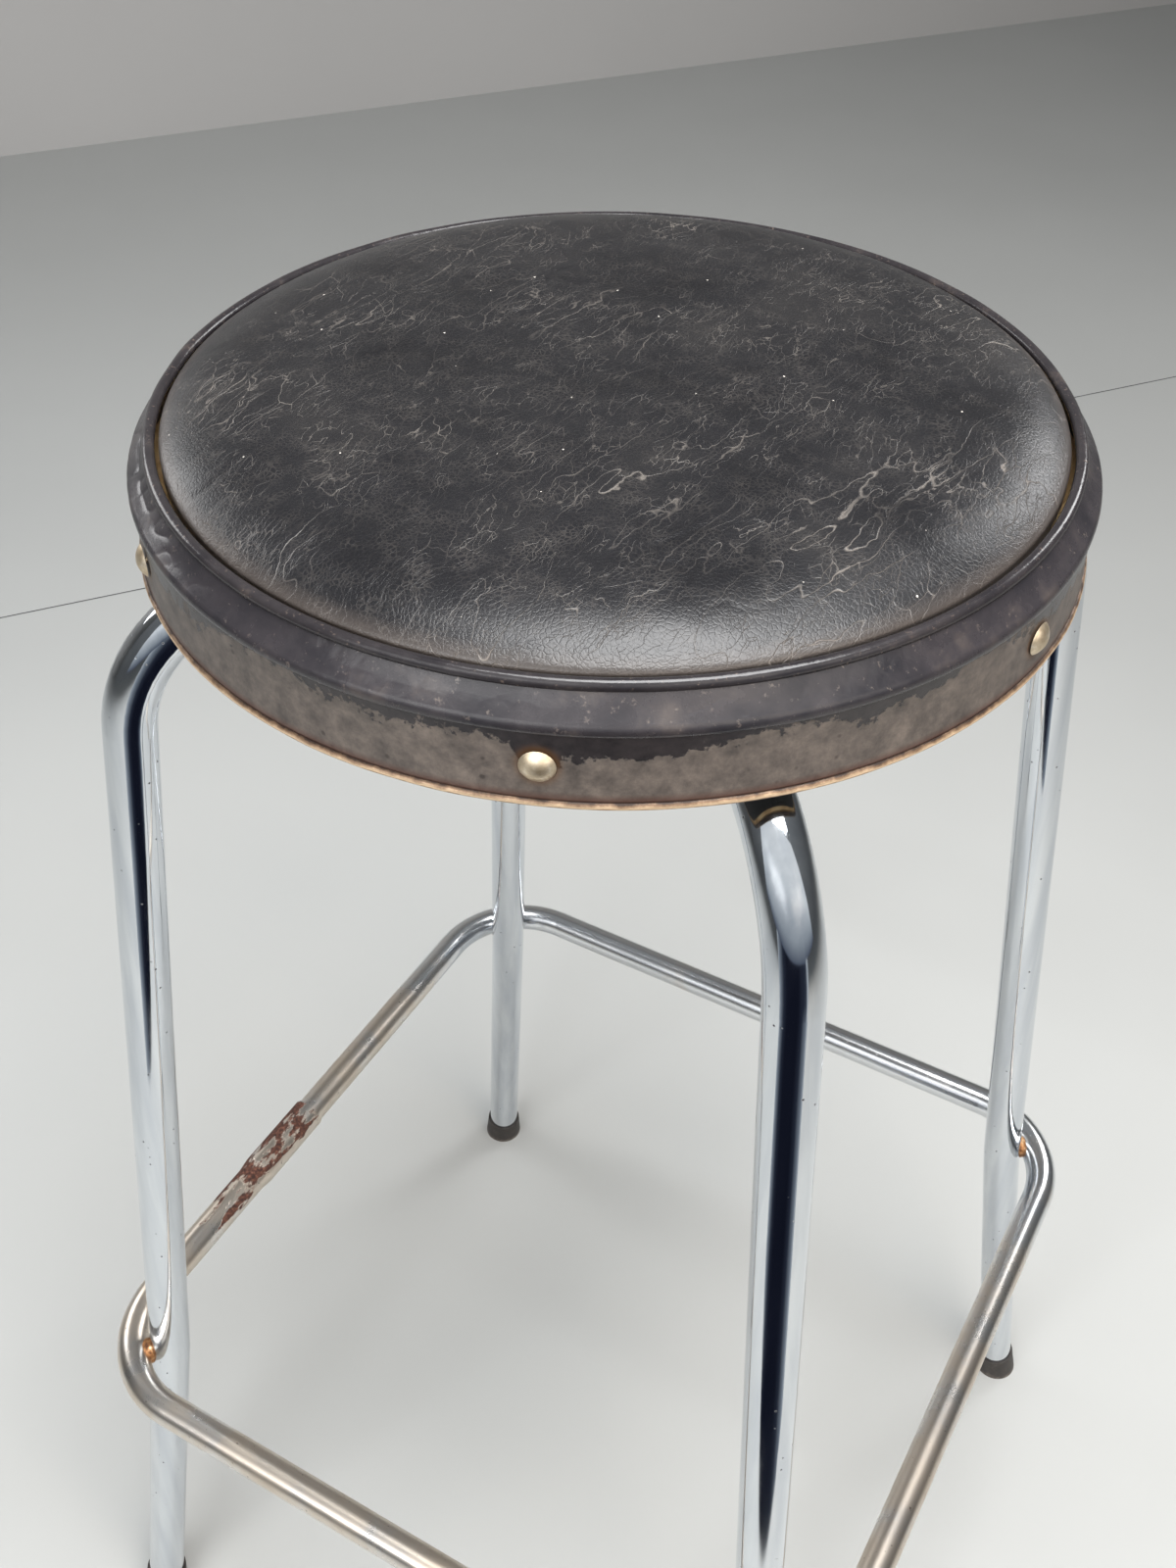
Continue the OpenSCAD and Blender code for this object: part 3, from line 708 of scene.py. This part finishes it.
# The outline, clockwise: down the slightly hollow slope, round the fold, and back along the underside
slope_way = np.linspace(0, 1, 26)[:, None]
slope_from = np.array([[band_in, band_high.z - 0.2 * MM]])
fold_middle = (band_r - fold_r, shoulder_z - 1.2 * MM)
fold = arc(fold_middle, fold_r, 50, -25, 16)
slope_to = fold[:1]
slope = slope_from + slope_way * (slope_to - slope_from)
slope[:, 1:] -= 0.4 * MM * np.sin(math.pi * slope_way)
back = np.array(
    [
        [band_r - leather_t, shoulder_z - 3.4 * MM],
        [band_in + 1 * MM, band_high.z - 2.2 * MM],
        [band_in, band_high.z - 2 * MM],
    ]
)
band_outline = np.vstack([slope[:-1], fold, back])
turn, radius, height = ring_grid(band_outline, columns=1440)
arc_length = turn * seat_r
# From 0 at the seam to 1 where the fold starts
way = np.arange(len(band_outline))[:, None] / (len(slope) - 2)
# Wrinkles cross the band at a slant; they are deepest in a pulled stretch on the left
pulled = np.exp(-(((turn - math.radians(222)) / 0.30) ** 2))
slant = arc_length + 6 * MM * way
off_crease = np.abs(noise(slant, way * 12 * MM, 7 * MM, 31) - 0.5) * 2
puckers = noise(slant, way * 9 * MM, 16 * MM, 33) - 0.5
depth = (0.22 + 0.9 * pulled) * MM * (0.9 * puckers - 0.5 * (1 - off_crease) ** 3)
# They are full half way down the slope, faint at its edges, and none on the underside
edge = np.clip(1 - np.abs(way - 0.5) * 1.2, 0.25, 1)
shown = (np.arange(len(band_outline))[:, None] < len(slope) + len(fold) - 4) * edge
height = height + shown * depth
radius = radius + 0.5 * shown * depth
shoulder = ring_object("shoulder_leather", turn, np.minimum(radius, band_r + 0.3 * MM), height)

band_leather, shader, place = start("polished black leather")
link = band_leather.node_tree.links.new
cloud = cloudy(band_leather, place, 24 * MM, 6.0, 0.6)
tone = add(
    band_leather, "ValToRGB", {0: cloud.outputs[0]}, [(0.34, "#242327"), (0.55, "#312e31"), (0.72, "#4b4441")]
)
scuffs = cloudy(band_leather, place, 3.2 * MM, 8.0, 0.72)
scuff = add(band_leather, "MapRange", {0: scuffs.outputs[0], 1: 0.60, 2: 0.72, 3: 0.0, 4: 0.5})
scuffed = add(
    band_leather, "Mix", {0: scuff.outputs[0], 6: tone.outputs[0], 7: linear("#81756c")}, data_type="RGBA"
)
link(scuffed.outputs[2], shader.inputs["Base Color"])
shine = add(band_leather, "MapRange", {0: cloud.outputs[0], 1: 0.3, 2: 0.7, 3: 0.19, 4: 0.34})
rough = add(band_leather, "Mix", {0: scuff.outputs[0], 2: shine.outputs[0], 3: 0.55}, data_type="FLOAT")
link(rough.outputs[0], shader.inputs["Roughness"])
wrinkles = add(
    band_leather, "TexNoise", {"Vector": place, "Scale": 1 / (5 * MM), "Detail": 6.0, "Distortion": 1.2}
)
wrinkled = add(band_leather, "Bump", {"Height": wrinkles.outputs[0], "Strength": 0.35, "Distance": 0.35 * MM})
link(wrinkled.outputs[0], shader.inputs["Normal"])
shoulder.data.materials.append(band_leather)
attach(shoulder, "root")
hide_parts("shoulder_band")


# ---- Wall band ----
# The upright leather strip nailed round the edge of the board.
# Its black coating is left at the top, with a ragged edge, and below it the bare hide has gone grey-brown.

wall_r = (wall_high.x - wall_low.x) / 2
nail_low, nail_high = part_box("rim_nails")
nail_count = 6
nail_z = (nail_low.z + nail_high.z) / 2
first_nail = math.radians(-8.5)

wall_top = shoulder_z - 0.6 * MM
wall_h = wall_top - wall_low.z
# The outline: up the face, slightly hollow, then down the inside
rise = np.linspace(0, 1, 40)[:, None]
face_r = wall_r - 0.35 * MM * np.sin(math.pi * rise) + 0.1 * MM * rise
face = np.hstack([face_r, wall_low.z + wall_h * rise])
inner_r = wall_r - leather_t
turned_in = [wall_r - 1.2 * MM, wall_top + 0.1 * MM]
inner = np.array([turned_in, [inner_r, wall_top - 1 * MM], [inner_r, wall_low.z]])
wall_outline = np.vstack([face, inner])
turn, radius, height = ring_grid(wall_outline, columns=1440)
nail_turns = first_nail + 2 * math.pi / nail_count * np.arange(nail_count)
off = (turn[..., None] - nail_turns + math.pi) % (2 * math.pi) - math.pi
from_nail = np.hypot(off * wall_r, height[..., None] - nail_z).min(-1)
dimple = 0.5 * MM * np.exp(-((from_nail / (8 * MM)) ** 2))
ripple = 0.5 * MM * (noise(turn * wall_r, height, 24 * MM, 41) - 0.5)
outside = np.arange(len(wall_outline))[:, None] < len(face)
# Both fade out at the wall's two edges
between = np.sin(math.pi * np.clip((height - wall_low.z) / wall_h, 0, 1))
radius = radius + outside * (ripple - dimple) * between
wall = ring_object("wall_leather", turn, radius, height)
# The nails' tarnish has stained a ring round each head
past_head = np.clip(from_nail - 5.5 * MM, 0, 1)
stain = wall.data.attributes.new("stain", "FLOAT", "POINT")
stain.data.foreach_set("value", np.exp(-((past_head / (1.6 * MM)) ** 2)).ravel().astype(np.float32))

patina, shader, place = start("worn black-coated hide")
link = patina.node_tree.links.new
axes = add(patina, "SeparateXYZ", {0: place})
up = add(patina, "MapRange", {0: axes.outputs["Z"], 1: wall_low.z, 2: wall_top})
broad = cloudy(patina, place, 38 * MM, 3.0)
ragged = cloudy(patina, place, 4 * MM, 7.0, 0.65)
broad_by = add(patina, "MapRange", {0: broad.outputs[0], 1: 0.3, 2: 0.7, 3: -0.30, 4: 0.22})
ragged_by = add(patina, "MapRange", {0: ragged.outputs[0], 1: 0.3, 2: 0.7, 3: -0.16, 4: 0.16})
edge_a = add(patina, "Math", {0: up.outputs[0], 1: broad_by.outputs[0]}, operation="ADD")
edge_b = add(patina, "Math", {0: edge_a.outputs[0], 1: ragged_by.outputs[0]}, operation="ADD")
coated = add(patina, "MapRange", {0: edge_b.outputs[0], 1: 0.70, 2: 0.74})
mottle = cloudy(patina, place, 7 * MM, 8.0, 0.7)
hide = add(
    patina, "ValToRGB", {0: mottle.outputs[0]}, [(0.32, "#3f3a37"), (0.5, "#57504b"), (0.7, "#6d645d")]
)
spot = scattered(patina, place, 7 * MM, (0.08, 0.16), (0.6, 0.65), most=0.75)
spotted = add(patina, "Mix", {0: spot, 6: hide.outputs[0], 7: linear("#2c2523")}, data_type="RGBA")
# Painted shade: the foot of the wall, where it meets the trim, is darkened to red-brown
shade_above_trim = add(patina, "MapRange", {0: up.outputs[0], 1: 0.02, 2: 0.12, 3: 0.75, 4: 0.0})
shaded_foot = add(
    patina, "Mix", {0: shade_above_trim.outputs[0], 6: spotted.outputs[2], 7: linear("#4b2f25")}, data_type="RGBA"
)
ring_mark = add(patina, "Attribute", attribute_name="stain")
ring_share = add(patina, "Math", {0: ring_mark.outputs["Fac"], 1: 0.6}, operation="MULTIPLY")
coat = add(patina, "ValToRGB", {0: mottle.outputs[0]}, [(0.35, "#1f1d1f"), (0.7, "#343031")])
both = add(patina, "Mix", {0: coated.outputs[0], 6: shaded_foot.outputs[2], 7: coat.outputs[0]}, data_type="RGBA")
stained = add(
    patina, "Mix", {0: ring_share.outputs[0], 6: both.outputs[2], 7: linear("#5b4026")}, data_type="RGBA"
)
link(stained.outputs[2], shader.inputs["Base Color"])
rough = add(patina, "MapRange", {0: coated.outputs[0], 3: 0.5, 4: 0.3})
link(rough.outputs[0], shader.inputs["Roughness"])
step = add(patina, "Bump", {"Height": coated.outputs[0], "Strength": 0.6, "Distance": 0.15 * MM})
skin = add(
    patina, "Bump",
    {"Height": mottle.outputs[0], "Strength": 0.4, "Distance": 0.3 * MM, "Normal": step.outputs[0]},
)
link(skin.outputs[0], shader.inputs["Normal"])
wall.data.materials.append(patina)
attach(wall, "root")
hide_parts("wall_band")


# ---- Edge trim ----
# A half-round strip with a copper-coloured face, pinned round the lower edge of the wall.
# Its crown is painted pale as a highlight, and its top and bottom edges are painted dark as shade.

trim_r = (trim_high.z - trim_low.z) / 2
trim_outline = np.vstack(
    [
        [[wall_r - leather_t, trim_low.z]],
        arc((seat_r - trim_r, trim_low.z + trim_r), trim_r, -90, 90, 17),
        [[wall_r - leather_t, trim_high.z]],
    ]
)[::-1]
turn, radius, height = ring_grid(trim_outline, columns=1080)
bent_by = 0.3 * MM * (noise(turn * seat_r, turn * 0, 15 * MM, 51) - 0.5)
radius = radius - np.clip(0.15 * MM + bent_by, 0, 1) * (radius > wall_r - trim_r)
trim = ring_object("copper_trim_strip", turn, radius, height)

copper, shader, place = start("copper strip with painted highlight and shade")
link = copper.node_tree.links.new
axes = add(copper, "SeparateXYZ", {0: place})
up = add(copper, "MapRange", {0: axes.outputs["Z"], 1: trim_low.z, 2: trim_high.z})
cloud = cloudy(copper, place, 6 * MM, 6.0, 0.7)
cloud_by = add(copper, "MapRange", {0: cloud.outputs[0], 1: 0.3, 2: 0.7, 3: -0.15, 4: 0.15})
level = add(copper, "Math", {0: up.outputs[0], 1: cloud_by.outputs[0]}, operation="ADD")
# By height: painted shade at the strip's bottom and top edges, and a painted highlight along its middle
tone = add(
    copper, "ValToRGB", {0: level.outputs[0]},
    [(0.05, "#2e2119"), (0.25, "#9c8166"), (0.5, "#dcc2a2"), (0.8, "#7d6550"), (1.0, "#2f221b")],
)
link(tone.outputs[0], shader.inputs["Base Color"])
shader.inputs["Metallic"].default_value = 0.4
rough = add(copper, "MapRange", {0: cloud.outputs[0], 3: 0.3, 4: 0.6})
link(rough.outputs[0], shader.inputs["Roughness"])
dings = add(copper, "Bump", {"Height": cloud.outputs[0], "Strength": 0.4, "Distance": 0.3 * MM})
link(dings.outputs[0], shader.inputs["Normal"])
trim.data.materials.append(copper)
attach(trim, "root")
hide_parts("edge_trim")


# ---- Nails ----
# Six upholstery nails with stamped, domed brass heads, driven through the wall into the board.
# The brass has gone a dull straw yellow in clouded patches.
# It is paler and smoother on the high spots of its hammering.

brass, shader, place = start("tarnished brass")
link = brass.node_tree.links.new
cloud = cloudy(brass, place, 4 * MM, 6.0, 0.65)
tone = add(
    brass, "ValToRGB", {0: cloud.outputs[0]}, [(0.32, "#bba88c"), (0.55, "#d8c9b0"), (0.72, "#eee4d4")]
)
link(tone.outputs[0], shader.inputs["Base Color"])
shader.inputs["Metallic"].default_value = 1.0
rough = add(brass, "MapRange", {0: cloud.outputs[0], 3: 0.54, 4: 0.38})
link(rough.outputs[0], shader.inputs["Roughness"])
hammered = add(brass, "Bump", {"Height": cloud.outputs[0], "Strength": 0.25, "Distance": 0.3 * MM})
link(hammered.outputs[0], shader.inputs["Normal"])
dress(["rim_nails"], brass)


# ---- Studio floor and backdrop ----
# A pale grey floor laid in two sheets with a sealed joint between them, painted matt.
# The grey wall is 2.4 m behind the stool.

view_turn = math.radians(29.242)
wall_turn = math.radians(51.2)
wall_foot = np.array([-1.914, 1.43])
joint_at = np.array([-1.0, 0.492])
half_length, floor_out = 7, 9
backdrop_h, lean = 4, 0.02


def paint(name, dark, light, patch):
    """Matt paint between two near greys, clouded over patches of that size."""
    made, coat, at = start(name)
    cloud = cloudy(made, at, patch, 3.0)
    tone = add(made, "ValToRGB", {0: cloud.outputs[0]}, [(0.3, dark), (0.7, light)])
    made.node_tree.links.new(tone.outputs[0], coat.inputs["Base Color"])
    coat.inputs["Roughness"].default_value = 0.5
    coat.inputs["Specular IOR Level"].default_value = 0.3
    return made


def plane(name, corners, material):
    """A flat four-cornered piece of the studio."""
    made = mesh_object(name, corners, [[0, 1, 2, 3]])
    made.data.materials.append(material)
    return made


def strip(name, foot, near, far, low, high, material):
    """A piece along the wall's direction, from one offset beyond its foot to another, between two heights."""
    way = np.array([math.cos(wall_turn), math.sin(wall_turn)])
    over = np.array([-math.sin(wall_turn), math.cos(wall_turn)])
    ends = ((-half_length, near), (half_length, near), (half_length, far), (-half_length, far))
    corners = [foot + along * way + offset * over for along, offset in ends]
    return plane(name, [(*at, z) for at, z in zip(corners, (low, low, high, high))], material)


floor_paint = paint("matt floor paint", "#b4b6b5", "#b9bbba", 0.5)
joint_gap = 3 * MM
strip("studio_floor_near", joint_at, -floor_out, -joint_gap, 0, 0, floor_paint)
strip("studio_floor_far", joint_at, 0, floor_out, 0, 0, floor_paint)
sealant = paint("grey sealant", "#a5a7a6", "#b0b2b1", 0.1)
strip("floor_joint", joint_at, -joint_gap, 0, -1 * MM, -1 * MM, sealant)
wall_paint = paint("matt wall paint", "#b8b8b8", "#bebebe", 0.8)
strip("studio_wall", wall_foot, 0, lean, 0, backdrop_h, wall_paint)


# ---- Studio light ----
# A soft dim room, four softboxes near its corners and one overhead with a grid that narrows its beam.
# A dark screen stands below the camera with a pale card over it, and only reflections show them.

world = bpy.data.worlds.new("soft room")
world.use_nodes = True
world.node_tree.nodes["Background"].inputs["Color"].default_value = linear("#c9cdd0")
upward = add(world, "SeparateXYZ", {0: add(world, "TexCoord").outputs["Generated"]}).outputs["Z"]
ceiling = add(world, "MapRange", {0: upward, 1: 0.0, 2: 0.9, 3: 0.14, 4: 0.34})
world.node_tree.links.new(ceiling.outputs[0], world.node_tree.nodes["Background"].inputs["Strength"])
bpy.context.scene.world = world


def softbox(name, bearing, distance, height, size, power, code="#ffffff", spread=180):
    """A softbox of that (width, height), at a bearing from the camera's heading, that faces the stool."""
    lamp = bpy.data.lights.new(name, "AREA")
    lamp.shape, lamp.energy, lamp.color = "RECTANGLE", power, linear(code)[:3]
    lamp.size, lamp.size_y = size
    lamp.spread = math.radians(spread)
    holder = bpy.data.objects.new(name, lamp)
    angle = view_turn + math.radians(bearing)
    holder.location = (-distance * math.sin(angle), distance * math.cos(angle), height)
    aim = Vector((0, 0, 0.5)) - holder.location
    holder.rotation_mode = "QUATERNION"
    holder.rotation_quaternion = aim.to_track_quat("-Z", "Y")
    holder.visible_camera = False
    bpy.context.scene.collection.objects.link(holder)


softbox("overhead", -145, 0.36, 2.05, (1.0, 1.1), 21.5, spread=125)
softbox("front left", 148, 2.1, 1.75, (1.5, 0.45), 38)
softbox("front right", -148, 2.1, 1.75, (1.5, 0.45), 32, "#fff0e0")
softbox("back left", 57, 1.8, 1.3, (0.8, 0.6), 7)
softbox("back right", -50, 1.8, 1.6, (0.5, 0.7), 10)

screen_away, screen_half, screen_top = 0.5, 0.34, 0.66
card_half, card_top = 0.8, 1.6
outward = np.array([math.sin(view_turn), -math.cos(view_turn)])
sideways = np.array([math.cos(view_turn), math.sin(view_turn)])


def reflected_sheet(name, half, low, high, material, tone):
    """An upright sheet on the camera's side that glows in that tone and is seen only in reflections."""
    nodes, join = material.node_tree.nodes, material.node_tree.links.new
    glow = add(material, "Emission", {"Color": tone.outputs[0]})
    join(glow.outputs[0], nodes["Material Output"].inputs["Surface"])
    left_end, right_end = [outward * screen_away + sideways * offset for offset in (-half, half)]
    corners = [(*left_end, low), (*right_end, low), (*right_end, high), (*left_end, high)]
    sheet = plane(name, corners, material)
    sheet.visible_camera = sheet.visible_diffuse = False
    sheet.visible_shadow = sheet.visible_transmission = False


# The screen is nearly black in the middle and pales to its sides
cloth, _, place = start("dark navy cloth")
aside = add(cloth, "VectorMath", {0: place, 1: (*sideways, 0)}, operation="DOT_PRODUCT")
apart = add(cloth, "Math", {0: aside.outputs["Value"]}, operation="ABSOLUTE")
fall = add(cloth, "MapRange", {0: apart.outputs[0], 1: 0.1, 2: screen_half})
tone = add(
    cloth, "ValToRGB", {0: fall.outputs[0]},
    [(0.0, "#161925"), (0.35, "#2b303d"), (0.75, "#7d858f"), (1.0, "#b9bfc4")],
)
reflected_sheet("dark_screen", screen_half, 0, screen_top, cloth, tone)
# The card is bright from a little over the screen upwards
card, _, place = start("pale grey card")
height_up = add(card, "SeparateXYZ", {0: place}).outputs["Z"]
rising = add(card, "MapRange", {0: height_up, 1: screen_top, 2: card_top})
tone = add(
    card, "ValToRGB", {0: rising.outputs[0]},
    [(0.0, "#515969"), (0.08, "#9da4ab"), (0.3, "#dde1e4"), (1.0, "#eef0f1")],
)
reflected_sheet("pale_card", card_half, screen_top, card_top, card, tone)


# ---- Camera ----
# A 39 mm lens on a 36 mm frame, a quarter of a metre over the seat and half a metre from the stool's axis.
# It looks down 41 degrees and is rolled half a degree.

eye_at = (0.2434, -0.4612, 1.0397)
pitch, roll = math.radians(-41.326), math.radians(0.507)
eye = bpy.data.cameras.new("camera")
eye.sensor_width = 36
eye.lens = 38.62
camera = bpy.data.objects.new("camera", eye)
camera.matrix_world = (
    Matrix.Translation(eye_at)
    @ Matrix.Rotation(view_turn, 4, "Z")
    @ Matrix.Rotation(math.pi / 2 + pitch, 4, "X")
    @ Matrix.Rotation(roll, 4, "Z")
)
bpy.context.scene.collection.objects.link(camera)
bpy.context.scene.camera = camera
bpy.context.scene.view_settings.view_transform = "Standard"
